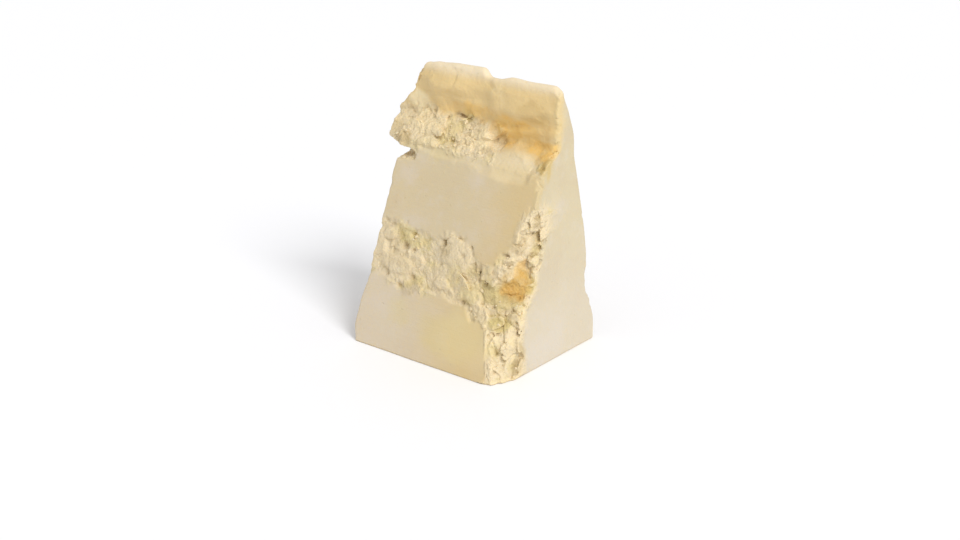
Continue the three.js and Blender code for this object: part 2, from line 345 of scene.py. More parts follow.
def blob(x, z, spot):
    """A round rise with the spot's place, half sizes and depth."""
    middle, height, half_x, half_z, depth = spot
    return depth * (1 - smooth(np.hypot((x - middle) / half_x, (z - height) / half_z)))


def round_max(a, b, radius):
    """The larger of two distances, with the edge between them rounded."""
    return np.maximum(a, b) + np.maximum(0, radius - np.abs(a - b)) ** 2 / (4 * radius)


class Lattice:
    """Random values from -1 to 1 on a turned cubic lattice that repeats after SIZE cells."""

    SIZE = 48

    def __init__(self, cell, seed, channels=1):
        rng = np.random.default_rng(seed)
        self.table = rng.uniform(-1, 1, (self.SIZE**3, channels)).astype(np.float32)
        q, r = np.linalg.qr(rng.normal(size=(3, 3)))
        self.turn = (q * np.sign(np.diag(r)) / cell).astype(np.float32)

    def at(self, cells):
        i = cells % self.SIZE
        return self.table[(i[:, 0] * self.SIZE + i[:, 1]) * self.SIZE + i[:, 2]]


CORNERS = [np.array((i, j, k), np.int32) for i in (0, 1) for j in (0, 1) for k in (0, 1)]


def soft_noise(points, lattice):
    """Smooth noise, one column for each of the lattice's channels."""
    place = points @ lattice.turn
    base = np.floor(place).astype(np.int32)
    part = smooth(place - base).astype(np.float32)
    total = 0
    for corner in CORNERS:
        weight = np.prod(np.where(corner, part, 1 - part), axis=1)
        total = total + weight[:, None] * lattice.at(base + corner)
    return total


def flat_noise(a, b, lattice, channel=0):
    """One channel of noise over two of the three directions, in the shape of the two grids."""
    flat = np.stack([a.ravel(), np.full(a.size, WAVES_APART * channel), b.ravel()], 1)
    return soft_noise(flat.astype(np.float32), lattice)[:, channel].reshape(a.shape)


def ragged(a, b, name):
    """A wandering offset over two of the three directions, with finer wander on top of the coarse."""
    size, seed = WANDER[name]
    coarse = flat_noise(a, b, Lattice(size, seed))
    return coarse + FINER_STRENGTH * flat_noise(a, b, Lattice(FINER_SIZE * size, seed + 1))


def flakes(points, lattice, tilt, step):
    """Small tilted planes with steps and seams between them, as brittle paste breaks."""
    place = points @ lattice.turn
    base = np.floor(place - 0.5).astype(np.int32)
    total = np.zeros(len(place), np.float32)
    weights = np.full(len(place), FLAKE["least"], np.float32)
    heaviest = np.zeros(len(place), np.float32)
    for corner in CORNERS:
        cell = base + corner
        random = lattice.at(cell)
        away = place - (cell + 0.5 + FLAKE["scatter"] * random[:, 0:3])
        weight = np.exp(-FLAKE["crisp"] * np.einsum("ij,ij->i", away, away))
        slope = tilt * np.einsum("ij,ij->i", away, random[:, 3:6])
        total += weight * (step * random[:, 6] + slope)
        weights += weight
        heaviest = np.maximum(heaviest, weight)
    return total / weights, 1 - heaviest / weights


# ---------------------------------------------------------------- the wedge's surfaces


def large_face(x, z):
    """Y of the large face, with its scoop, before any fine breakage."""
    plane = -CHORD / 2 + z * SLOPE
    z = z + SCOOP_DRIFT * ragged(x, z, "scoop") * fade("scoop drift", z)
    lip = fade("scoop lip", x)
    right = fade("scoop right", x)
    scoop = along(SCOOP_LEFT, z) * (1 - lip) + along(SCOOP_LIP, z) * lip
    scoop = scoop * (1 - right) + along(SCOOP_RIGHT, z) * right
    scoop = np.where(z > SCOOP_FOOT, np.maximum(scoop, 0), 0)
    return plane + scoop + sum(blob(x, z, swell) for swell in SWELLS)


def back_face(x, z):
    """Y of the back face, before any fine breakage."""
    plane = CHORD / 2 - z * (CHORD / 2 - TIP_BEHIND) / HEIGHT
    bulge = BACK_BULGE * np.sin(np.pi * np.clip(z / HEIGHT, 0, 1))
    return plane + bulge + along(BACK_EDGE, z) * fade("back edge", x)


def in_band(x, z, wander):
    """1 in the torn band across the large face."""
    inside = np.minimum(along(BAND_TOP, x) - z, z - along(BAND_LOW, x))
    return fade("band", inside + FRAY["band"] * wander)


def in_scoop(x, z, wander):
    """Where the scoop is crumbly, from 0 to 1. Its lip and back wall are smoother."""
    rise = fade("scoop low", z + FRAY["scoop low"] * wander)
    fall = 1 - fade("scoop high", z + FRAY["scoop high"] * wander)
    return rise * fall * (1 - SCOOP_CALM * fade("scoop calm", x))


def on_torn_back(x, z, front, wander):
    """1 on the torn parts of the back face, where the wedge is thick enough to lose some."""
    band = np.minimum(along(BACK_BAND_TOP, x) - z, z - along(BACK_BAND_LOW, x))
    inside = np.maximum.reduce([band, z - along(BACK_TIP, x), along(BACK_FOOT, x) - z])
    thick = fade("back thick", back_face(x, z) - front)
    return fade("back torn", inside + FRAY["back torn"] * wander) * thick * (1 - fade("back right", x))


def calmness(x, z):
    """1 on the smoother flakes left standing in the torn band."""
    return fade("calm", np.maximum.reduce([blob(x, z, (*spot, 1)) for spot in BAND_FLAKES]))


def tornness(x, z, wander):
    """How strongly the large face is broken, from 0 to 1."""
    band = BREAKS["band"] * in_band(x, z, wander)
    return np.maximum.reduce([band, in_scoop(x, z, wander), BREAKS["scoop wall"] * fade("scoop wall", z)])


def chips(a, b, name):
    """How far the edges of a face are nicked: mostly nothing, with small chips here and there."""
    return np.clip(CHIPS["depth"] * (ragged(a, b, name) - CHIPS["rarity"]), 0, None) + CHIPS["least"]


def standing_sides(xs, ys, zs):
    """Distances to the wedge's five sides (minus inside) and their nicks, with Y of the large face
    and how torn that face and the back are."""
    side_x, side_z = np.meshgrid(xs, zs, indexing="ij")
    end_y, end_z = np.meshgrid(ys, zs, indexing="ij")
    wave = Lattice(WAVE_SIZE, SEED + 1, len(WAVES))
    grids = ((side_x, side_z), (side_x, side_z), (end_y, end_z), (end_y, end_z))
    waves = {
        name: WAVES[name] * flat_noise(*grid, wave, channel)
        for channel, (name, grid) in enumerate(zip(WAVES, grids))
    }
    wander = ragged(side_x, side_z, "torn")
    front = large_face(side_x, side_z) + waves["front"]
    slope_x, slope_z = np.gradient(front, xs[1] - xs[0])
    steep = 1 / np.sqrt(1 + slope_x**2 + slope_z**2)
    calm = calmness(side_x, side_z)
    sunk = BAND_SINK * in_band(side_x, side_z, wander) - FLAKE_RISE * calm
    sunk = sunk + np.maximum.reduce([blob(side_x, side_z, pit) for pit in PITS])
    back_torn = on_torn_back(side_x, side_z, front, wander)
    back = back_face(side_x, side_z) + waves["back"] - BACK_SINK * back_torn
    back = np.maximum(back, front + LEAST_THICK)
    lean = math.cos(math.atan((CHORD / 2 - TIP_BEHIND) / HEIGHT))
    ledge = fade("ledge low", zs) * (1 - fade("ledge high", zs))
    left = -along(LEFT_SIDE, zs)[None, :] + waves["left"]
    left = left - LEDGE["out"] * ledge * bump((end_y - front[0]) / LEDGE["reach"])
    right = HALF_WIDTH + waves["right"]
    x, y, z = xs[:, None, None], ys[None, :, None], zs[None, None, :]
    sides = {
        "front": ((front + sunk)[:, None, :] - y) * steep[:, None, :],
        "back": (y - back[:, None, :]) * lean,
        "left": left[None] - x,
        "right": x - right[None],
        "ridge": z - (HEIGHT + along(RIDGE, xs))[:, None, None],
        "left chips": (chips(end_y, end_z, "left chips") + blob(end_y, end_z, FAR_FOOT_CHIP))[None],
        "right chips": chips(end_y, end_z, "right chips")[None],
    }
    torn = tornness(side_x, side_z, wander) * (1 - FLAKE_CALM * calm)
    return sides, front, torn, back_torn


def joined(sides):
    """The body between the five sides, with its edges rounded and nicked."""
    body = round_max(sides["front"], sides["back"], EDGE_ROUND["tip"])
    for name in ("right", "left"):
        side = sides[name]
        cut = (body + side + sides[name + " chips"]) * math.sqrt(0.5)
        body = np.maximum(round_max(body, side, EDGE_ROUND[name]), cut)
    return round_max(body, sides["ridge"], EDGE_ROUND["ridge"])


def corner_cut(x, y, z, front):
    """Distance to the uneven break along which the front right corner has crumbled away."""
    run_x, run_y = along(CORNER_X, z), along(CORNER_Y, z)
    plane = ((x - HALF_WIDTH + run_x) * run_y - (y - front) * run_x) / np.hypot(run_x, run_y)
    return plane + sum(blob(x, z, spot) for spot in CORNER_RELIEF) + CREASE_DEPTH * creases(x, z)


def creases(x, z):
    """1 in the middle of a crease, falling to 0 at its edges."""
    nearest = np.full(np.broadcast(x, z).shape, np.inf)
    for path in CREASES:
        for (x0, z0), (x1, z1) in zip(path, path[1:]):
            run, rise = x1 - x0, z1 - z0
            share = np.clip(((x - x0) * run + (z - z0) * rise) / (run**2 + rise**2), 0, 1)
            nearest = np.minimum(nearest, np.hypot(x - x0 - share * run, z - z0 - share * rise))
    return bump(nearest / CREASE_HALF)


def notch_cut(xs, zs, left, front):
    """Distance to the torn slot under the ledge, and how far open the slot is at each X and height."""
    x, z = np.meshgrid(xs, zs, indexing="ij")
    drift = NOTCH["drift"] * ragged(x, z, "notch")
    gap = 1 - fade("slot", np.abs(z + drift - NOTCH["height"]))[:, None, :]
    along_x, along_y = NOTCH["along_x"], NOTCH["along_y"]
    return ((along_x * gap + left) * along_y + front * along_x) / math.hypot(along_x, along_y), gap


def wedge_field(cell, flake_size, flake_depth):
    """Distances to the wedge's surface on a grid (minus inside), with the grid's lowest corner."""
    xs, ys, zs = (np.arange(a, b + cell, cell, dtype=np.float32) for a, b in zip(GRID_LOW, GRID_HIGH))
    x, y, z = xs[:, None, None], ys[None, :, None], zs[None, None, :]
    sides, front, torn, back_torn = standing_sides(xs, ys, zs)
    corner = corner_cut(x, y, z, front[:, None, :])
    notch, gap = notch_cut(xs, zs, sides["left"], front[:, None, :] - y)
    whole = np.maximum(np.maximum(joined(sides), corner), notch)

    reach = BREAK_REACH * flake_depth
    ledge = (zs > LEDGE["low"] - LEDGE["margin"]) & (zs < LEDGE["high"])
    breaking = (torn > BARELY_TORN)[:, None, :] & (sides["front"] > -FACE_REACH * reach)
    breaking |= (corner > -reach) & (zs < CORNER_X[-1][0])
    breaking |= (notch > -reach) & (gap > BARELY_TORN)
    breaking |= (sides["left"] > -reach) & ledge
    breaking |= (back_torn > BARELY_TORN)[:, None, :] & (sides["back"] > -FACE_REACH * reach)
    chosen = np.nonzero((np.abs(whole) < reach) & breaking)
    i, j, k = chosen
    rough, seam, blocks = breakage(np.stack([xs[i], ys[j], zs[k]], 1), flake_size, flake_depth)
    near = {name: np.broadcast_to(part, whole.shape)[chosen] for name, part in sides.items()}
    level = torn[i, k]
    at_front = 1 - ramp(np.abs(near["front"]), reach, 2 * reach)
    at_left = np.maximum(BREAKS["left"] * level * at_front, BREAKS["ledge"] * ledge[k])
    near["front"] = near["front"] + rough * level + seam * np.clip(2 * level - 1, 0, 1)
    near["left"] = near["left"] + np.maximum(rough, -LEFT_DENT) * at_left
    near["back"] = near["back"] + rough * back_torn[i, k]
    broken = np.maximum(joined(near), notch[chosen] + BREAKS["notch"] * (rough + seam))
    flaked = rough + seam + along(CORNER_EXTRA, zs[k]) * blocks
    flaked = flaked * (1 - blob(xs[i], zs[k], SMOOTH_HOLLOW))
    whole[chosen] = round_max(broken, corner[chosen] + flaked, EDGE_ROUND["corner"])
    whole = round_max(whole, -z, EDGE_ROUND["foot"])
    for axis in range(3):
        for end in (0, -1):
            np.moveaxis(whole, axis, 0)[end] = 1
    return whole, (xs[0], ys[0], zs[0])


def breakage(points, size, depth):
    """How far broken paste stands in or out, the seams between its flakes, and its middle flakes alone."""
    bend = BEND[0] * size * soft_noise(points, Lattice(BEND[1] * size, SEED + 10, 3))
    vigour = 1 + VIGOUR[0] * soft_noise(points, Lattice(VIGOUR[1] * size, SEED + 11))[:, 0]
    total = 0
    seams = 0
    for number, (share, groove) in enumerate(FLAKE_SIZES):
        amount = depth * share
        lattice = Lattice(share * size, SEED + 20 + number, 7)
        tilt, step = FLAKE["tilt"] * amount, FLAKE["step"] * amount
        height, seam = flakes(points + bend * share**0.5, lattice, tilt, step)
        total = total + height
        seams = seams + groove * amount * seam
        if number == 1:
            blocks = height + seams
    return total * vigour, seams * vigour, blocks


# ---------------------------------------------------------------- from distances to a mesh


def surface(field, low, cell):
    """Vertices and quads of the closed surface where the field changes sign."""
    inside = field < 0
    size = np.array(field.shape) - 1
    count = np.zeros(size, np.uint8)
    for i, j, k in CORNERS:
        count += inside[i : size[0] + i, j : size[1] + j, k : size[2] + k]
    crossed = np.flatnonzero((count > 0) & (count < len(CORNERS)))
    cells = np.stack(np.unravel_index(crossed, count.shape), 1)
    value = {tuple(c): field[tuple((cells + c).T)] for c in CORNERS}
    total = np.zeros((len(cells), 3), np.float32)
    hits = np.zeros(len(cells), np.float32)
    for start, first in value.items():
        for axis in range(3):
            if start[axis]:
                continue
            end = tuple(1 if i == axis else start[i] for i in range(3))
            cross = (first < 0) != (value[end] < 0)
            share = np.where(cross, first / np.where(cross, first - value[end], 1), 0)
            for i in range(3):
                total[:, i] += np.where(cross, start[i] + (share if i == axis else 0), 0)
            hits += cross
    places = (total / hits[:, None] + cells) * cell + np.array(low, np.float32)
    number = np.full(count.shape, -1, np.int32)
    number.ravel()[crossed] = np.arange(len(crossed), dtype=np.int32)
    return places, np.concatenate([quads_across(inside, number, axis) for axis in range(3)])


def quads_across(inside, number, axis):
    """The quads around the grid's edges along one axis whose two ends differ."""
    after, last = (axis + 1) % 3, (axis + 2) % 3
    grid = np.moveaxis(inside, (axis, after, last), (0, 1, 2))
    cells = np.moveaxis(number, (axis, after, last), (0, 1, 2))
    first, second = grid[:-1, 1:-1, 1:-1], grid[1:, 1:-1, 1:-1]
    found = []
    for facing, edges in ((1, first & ~second), (-1, ~first & second)):
        i, j, k = np.nonzero(edges)
        ring = [cells[i, j, k], cells[i, j + 1, k], cells[i, j + 1, k + 1], cells[i, j, k + 1]]
        found.append(np.stack(ring[::facing], 1))
    return np.concatenate(found)


def largest_part(places, quads):
    """Drops the loose specks that breaking leaves, and keeps the one large surface."""
    label = np.arange(len(places))
    ends = np.concatenate([quads[:, [0, 1]], quads[:, [1, 2]], quads[:, [2, 3]]])
    while True:
        lower = np.minimum(label[ends[:, 0]], label[ends[:, 1]])
        spread = label.copy()
        np.minimum.at(spread, ends[:, 0], lower)
        np.minimum.at(spread, ends[:, 1], lower)
        spread = spread[spread][spread]
        if (spread == label).all():
            break
        label = spread
    roots, sizes = np.unique(label, return_counts=True)
    kept = label == roots[sizes.argmax()]
    renumber = np.cumsum(kept) - 1
    return places[kept], renumber[quads[kept[quads[:, 0]]]]


def mesh_object(name, places, faces):
    """A mesh object from arrays of vertices and of faces that all have as many sides."""
    mesh = bpy.data.meshes.new(name)
    mesh.vertices.add(len(places))
    mesh.vertices.foreach_set("co", places.astype(np.float32).ravel())
    mesh.loops.add(faces.size)
    mesh.loops.foreach_set("vertex_index", faces.astype(np.int32).ravel())
    mesh.polygons.add(len(faces))
    mesh.polygons.foreach_set("loop_start", np.arange(0, faces.size, faces.shape[1], dtype=np.int32))
    mesh.update(calc_edges=True)
    mesh.validate()
    return linked(name, mesh)


def linked(name, data):
    """A new object in the scene with the given data."""
    made = bpy.data.objects.new(name, data)
    bpy.context.scene.collection.objects.link(made)
    return made


def read(items, name, width=3, kind=np.float32):
    """One attribute of each item, as an array with a row for each."""
    values = np.empty(len(items) * width, kind)
    items.foreach_get(name, values)
    return values.reshape(-1, width)


def thin_out(made, most):
    """Collapses the flattest triangles until no more than `most` are left."""
    triangles = sum(len(face.vertices) - 2 for face in made.data.polygons)
    if triangles <= most:
        return
    modifier = made.modifiers.new("thin", "DECIMATE")
    modifier.ratio = most / triangles
    modifier.use_collapse_triangulate = True
    bpy.context.view_layer.objects.active = made
    with bpy.context.temp_override(object=made, active_object=made):
        bpy.ops.object.modifier_apply(modifier=modifier.name)


def surroundings(mesh, rounds):
    """The average place of each vertex's neighbourhood, and how far below it the vertex lies."""
    places = read(mesh.vertices, "co")
    a, b = read(mesh.edges, "vertices", 2, np.int32).T
    degree = np.bincount(a, minlength=len(places)) + np.bincount(b, minlength=len(places))
    average = places.astype(np.float64)
    for _ in range(rounds):
        total = np.zeros_like(average)
        for axis in range(3):
            total[:, axis] = np.bincount(a, average[b, axis], len(places))
            total[:, axis] += np.bincount(b, average[a, axis], len(places))
        average = 0.5 * average + 0.5 * total / degree[:, None]
    return average, np.einsum("ij,ij->i", average - places, read(mesh.vertex_normals, "vector"))


def blunt_spikes(mesh):
    """Pulls thin points that stand out of the surface back towards it, as they would snap off."""
    for _ in range(BLUNTINGS):
        average, below = surroundings(mesh, ROUNDS["spike"])
        places = read(mesh.vertices, "co")
        places = places + fade("spike", -below)[:, None] * (average - places)
        mesh.vertices.foreach_set("co", places.astype(np.float32).ravel())
        mesh.update()


def zones(places):
    """Masks from 0 to 1 for a finished surface's vertices, from where they lie on the wedge."""
    x, y, z = places.T
    wander = ragged(x, z, "torn")
    front, back = large_face(x, z), back_face(x, z)
    behind = y - front
    from_left = x + along(LEFT_SIDE, z)
    near_front = 1 - fade("front depth", behind)
    at_corner = fade("corner depth", corner_cut(x, y, z, front)) * (1 - fade("corner top", z))
    at_notch = bump((z - NOTCH["height"]) / NOTCH["spread"]) * (1 - fade("notch end", x))
    at_notch = at_notch * (1 - fade("notch depth", behind))
    at_ledge = fade("ledge out", -x - along(LEFT_SIDE, z)) * fade("ledge foot", z)
    at_back = on_torn_back(x, z, front, wander) * fade("back depth", y - back) * fade("back left", from_left)
    below_ridge = (HEIGHT + along(RIDGE, x) - z) * RIDGE_SHARE
    buried = fade("buried", np.minimum.reduce([behind, back - y, from_left, HALF_WIDTH - x, below_ridge]))
    torn = tornness(x, z, wander) * near_front
    scoop = fade("tan", z + FRAY["tan"] * wander) * near_front
    upper = fade("upper", z)
    starts, ends = (at + shift * upper for at, shift in (WARM_GLOW_STARTS, WARM_GLOW_ENDS))
    # Painted glow of light shining through the paste from the lit right side, growing towards the front edge.
    warm_glow = ramp(x + FRAY["warm_glow"] * wander, starts, ends) * (1 - WARM_GLOW_LOST * upper)
    masks = {
        "torn": np.maximum.reduce([torn, at_corner, at_notch, at_ledge, at_back, buried]),
        # Tan wall below the tip. Its tan is partly painted glow of light shining through the thin tip.
        "tan": scoop * (1 - TAN_LOST * in_scoop(x, z, wander)),
        # Painted highlight along the top edge of the tip.
        "rim_highlight": scoop * fade("rim_highlight", z),
        "warm_glow": warm_glow * (near_front * (1 - fade("above cut", z))),
        "foot": 1 - fade("foot", z),
        "side": fade("side", x) * (1 - at_corner),
        # Painted shade in the creases of the crumbled corner.
        "crease": CREASE_SHADE * creases(x, z) * at_corner,
        "rind": 1 - fade("rind", z),
    }
    strayed = places
    for by, size, seed in SPOT_DRIFTS:
        strayed = strayed + by * soft_noise(places, Lattice(size, seed, 3))
    facing = np.maximum(near_front, at_corner)
    for name, spots in SPOTS.items():
        masks[name] = facing * np.maximum.reduce([patch(strayed, spot) for spot in spots])
    return masks


def patch(places, spot):
    """A patch of colour, at full strength in its middle and fading towards its edge."""
    a, b, c, size, tall, strength = spot
    away = np.linalg.norm((places - (a, b, c)) / (size, size, tall), axis=1)
    return strength * smooth(SPOT_EDGE * (1 - away))


# ---------------------------------------------------------------- materials


def new_group(name, inputs, outputs):
    """A shader node group with its named sockets, and its input and output nodes."""
    group = bpy.data.node_groups.new(name, "ShaderNodeTree")
    for label, value in inputs.items():
        kind = "NodeSocketColor" if isinstance(value, tuple) else "NodeSocketFloat"
        group.interface.new_socket(label, in_out="INPUT", socket_type=kind).default_value = value
    for label, kind in outputs.items():
        group.interface.new_socket(label, in_out="OUTPUT", socket_type=kind)
    return group, group.nodes.new("NodeGroupInput"), group.nodes.new("NodeGroupOutput")


def add(tree, kind, inputs=None, **properties):
    """Adds a node. Its inputs are named by label or number: an output is linked, a value is set."""
    node = tree.nodes.new("ShaderNode" + kind)
    for name, value in properties.items():
        setattr(node, name, value)
    for label, value in (inputs or {}).items():
        if isinstance(value, bpy.types.NodeSocket):
            tree.links.new(value, node.inputs[label])
        else:
            node.inputs[label].default_value = value
    return node


def fade_node(tree, value, name):
    """0 before the named range, 1 after it."""
    low, high = FADES[name]
    inputs = {"Value": value, "From Min": low, "From Max": high}
    return add(tree, "MapRange", inputs, interpolation_type="SMOOTHSTEP").outputs["Result"]


def blend(tree, share, first, second, kind="MIX"):
    """One colour mixed into another. The node takes its share and colours as inputs 0, 6 and 7."""
    inputs = {0: share, 6: first, 7: second}
    return add(tree, "Mix", inputs, data_type="RGBA", blend_type=kind).outputs[2]


def calculate(tree, operation, first, second):
    return add(tree, "Math", {0: first, 1: second}, operation=operation).outputs[0]


def product(tree, first, *others):
    for other in others:
        first = calculate(tree, "MULTIPLY", first, other)
    return first


def own_place(tree):
    return add(tree, "TexCoord").outputs["Object"]


def noise(tree, place, scale, detail, roughness):
    inputs = {"Vector": place, "Scale": scale, "Detail": detail, "Roughness": roughness}
    return add(tree, "TexNoise", inputs).outputs["Fac"]


def mottling_group():
    """Broad, soft patches of paler and deeper paste, with finer clouding inside them."""
    shades = {"Color": (0.8, 0.7, 0.5, 1), "Pale": (0.85, 0.8, 0.6, 1), "Deep": (0.7, 0.6, 0.4, 1)}
    inputs = {**shades, "Scale": 40.0, "Amount": 0.5}
    tree, given, result = new_group("Paste mottling", inputs, {"Color": "NodeSocketColor"})
    colour, pale, deep, scale, amount = (given.outputs[label] for label in inputs)
    place = own_place(tree)
    broad = noise(tree, place, scale, detail=4.0, roughness=0.55)
    fine = noise(tree, place, product(tree, scale, SCALES["clouds"]), detail=3.0, roughness=0.6)
    layers = (
        (product(tree, fade_node(tree, broad, "pale"), amount), pale),
        (product(tree, fade_node(tree, broad, "deep"), amount), deep),
        (product(tree, fade_node(tree, fine, "clouds"), amount, CLOUD_COVER), pale),
    )
    for share, shade in layers:
        colour = blend(tree, share, colour, shade)
    tree.links.new(colour, result.inputs["Color"])
    return tree


def grain_group():
    """The fine grain of the paste: tiny granules, the specks between them, and pinholes."""
    inputs = {"Scale": 900.0, "Coarse Share": 0.5}
    outputs = dict.fromkeys(("Height", "Specks", "Pinholes"), "NodeSocketFloat")
    tree, given, result = new_group("Paste grain", inputs, outputs)
    scale, coarse_share = (given.outputs[label] for label in inputs)
    place = own_place(tree)
    granules = {"Vector": place, "Scale": scale, "Randomness": 1.0}
    gaps = add(tree, "TexVoronoi", granules, feature="SMOOTH_F1").outputs["Distance"]
    coarse = noise(tree, place, product(tree, scale, SCALES["coarse"]), detail=5.0, roughness=0.65)
    cells = {"Vector": place, "Scale": product(tree, scale, SCALES["holes"])}
    holes = add(tree, "TexVoronoi", cells, feature="F1").outputs
    random = add(tree, "SeparateColor", {"Color": holes["Color"]}).outputs[0]
    inside = fade_node(tree, holes["Distance"], "pinhole")
    smooth_height = calculate(tree, "SUBTRACT", 1.0, gaps)
    found = {
        "Height": calculate(tree, "ADD", smooth_height, product(tree, coarse, coarse_share)),
        "Specks": fade_node(tree, gaps, "specks"),
        "Pinholes": product(tree, fade_node(tree, random, "open"), inside),
    }
    for label, output in found.items():
        tree.links.new(output, result.inputs[label])
    return tree


def knife_lines(tree):
    """Faint lines along X that the blade drags across the cut faces."""
    stretched = add(tree, "Mapping", {"Vector": own_place(tree), "Scale": (0.03, 1, 1)})
    return noise(tree, stretched.outputs["Vector"], scale=620.0, detail=4.0, roughness=0.6)


def rgba(colour):
    return (*colour, 1.0)


def material(name):
    made = bpy.data.materials.new(name)
    made.use_nodes = True
    return made, made.node_tree, made.node_tree.nodes["Principled BSDF"]


class Paste:
    """A material in the making, with the settings that its colours come from."""

    def __init__(self, name, settings):
        self.made, self.tree, self.shader = material(name)
        self.settings = settings

    def group(self, name, build, inputs):
        """The outputs of a shared node group, which is built once."""
        shared = bpy.data.node_groups.get(name) or build()
        return add(self.tree, "Group", inputs, node_tree=shared).outputs

    def shade(self, name):
        return rgba(getattr(self.settings, name + "_colour"))

    def mottled(self, kind):
        *shades, scale, amount = MOTTLES[kind]
        inputs = dict(zip(("Color", "Pale", "Deep"), map(self.shade, shades)))
        inputs.update({"Scale": scale, "Amount": amount})
        return self.group("Paste mottling", mottling_group, inputs)["Color"]

    def grain(self, kind):
        scale, coarse_share = GRAINS[kind]
        return self.group("Paste grain", grain_group, {"Scale": scale, "Coarse Share": coarse_share})

    def mask(self, name):
        return add(self.tree, "Attribute", attribute_name=name).outputs["Fac"]

    def over(self, colour, share, shade, kind="MIX"):
        """The colour with the named one laid over it."""
        return blend(self.tree, share, colour, self.shade(shade), kind)

    def finish(self, colour, bumps):
        """Connects the colour and the bumps, and makes the paste waxy."""
        normal = add(self.tree, "Bump", bumps).outputs["Normal"]
        self.tree.links.new(colour, self.shader.inputs["Base Color"])
        self.tree.links.new(normal, self.shader.inputs["Normal"])
        for label, value in WAXY.items():
            self.shader.inputs[label].default_value = value
        return self.made


def wedge_material(settings):
    paste = Paste("Sheep's milk paste", settings)
    tree, mask = paste.tree, paste.mask
    torn = mask("torn")
    fine, rough = paste.grain("cut"), paste.grain("torn")
    cut = paste.mottled("cut")
    # Painted warm glow near the front edge.
    cut = paste.over(cut, product(tree, mask("warm_glow"), COVER["warm_glow"]), "warm_glow")
    elsewhere = calculate(tree, "SUBTRACT", 1.0, mask("warm_glow"))
    cut = paste.over(cut, product(tree, mask("foot"), COVER["foot"], elsewhere), "pale")
    colour = blend(tree, torn, cut, paste.mottled("torn"))
    # Laid over the paste in turn: the tan wall, partly painted glow; the painted highlight along the tip; the
    # olive patches, partly painted shade; and the patches of painted light.
    for name in ("tan", "rim_highlight", "olive", "painted_light"):
        colour = paste.over(colour, mask(name), name)
    # Painted amber glow of light bouncing in the hollows and shining through thin paste.
    colour = blend(tree, mask("amber_glow"), colour, paste.mottled("amber_glow"))
    # Painted shade: the shade patches and the creases are darkened by the shade colour. The side mask cools
    # the narrow cut face.
    for name, shade in (("shade", "shade"), ("crease", "shade"), ("side", "side")):
        colour = paste.over(colour, mask(name), shade, "MULTIPLY")
    # Painted shade and light from the surface's shape: the pit colour darkens dips and hollows, and the tuft
    # colour lightens rises and ridges.
    for low, high, depth, where in (("dip", "rise", "dip", [torn]), ("hollow", "tuft", "cavity", [])):
        for name, shade, kind in ((low, "pit", "MULTIPLY"), (high, "tuft", "MIX")):
            share = product(tree, fade_node(tree, mask(depth), name), *where, COVER[name])
            colour = paste.over(colour, share, shade, kind)
    # Painted shade in the pinholes, and tan specks between the granules.
    for name, grain, shade in (("Pinholes", fine, "pit"), ("Specks", rough, "tan")):
        colour = paste.over(colour, product(tree, grain[name], COVER[name]), shade)
    colour = blend(tree, mask("rind"), colour, paste.mottled("rind"))
    gloss = add(tree, "MapRange", {"Value": torn, "To Min": 0.5, "To Max": 0.72})
    tree.links.new(gloss.outputs["Result"], paste.shader.inputs["Roughness"])
    lines = product(tree, knife_lines(tree), RELIEF["knife lines"])
    holes = product(tree, fine["Pinholes"], RELIEF["pinholes"])
    smooth_height = calculate(tree, "SUBTRACT", calculate(tree, "ADD", fine["Height"], lines), holes)
    smooth_height = product(tree, smooth_height, RELIEF["cut"])
    # The node takes its share and numbers as inputs 0, 2 and 3.
    heights = {0: torn, 2: smooth_height, 3: product(tree, rough["Height"], RELIEF["torn"])}
    height = add(tree, "Mix", heights, data_type="FLOAT").outputs[0]
    return paste.finish(colour, {"Height": height, "Distance": 0.0006})


def crumb_material(settings):
    paste = Paste("Paste crumbs", settings)
    paste.shader.inputs["Roughness"].default_value = 0.7
    bumps = {"Height": paste.grain("crumbs")["Height"], "Strength": 0.4, "Distance": 0.0004}
    return paste.finish(paste.mottled("crumbs"), bumps)


# ---------------------------------------------------------------- settings


def setting(name, description, default, kind=FloatProperty, **limits):
    return kind(name=name, description=description, default=default, **limits)


def size_setting(name, description, metres, least=0.0):
    return setting(name, description, metres, min=least, unit="LENGTH", precision=5)


def angle_setting(name, description, degrees):
    return setting(name, description, math.radians(degrees), subtype="ANGLE")


def colour_setting(name, description, shade):
    limits = {"subtype": "COLOR", "size": 3, "min": 0, "max": 1}
    return setting(name, description, linear(shade), FloatVectorProperty, **limits)


def linear(shade):
    """A colour given as 0 to 255 levels, in the renderer's linear scale."""
    parts = [level / 255 for level in shade]
    return [part / 12.92 if part <= 0.04045 else ((part + 0.055) / 1.055) ** 2.4 for part in parts]


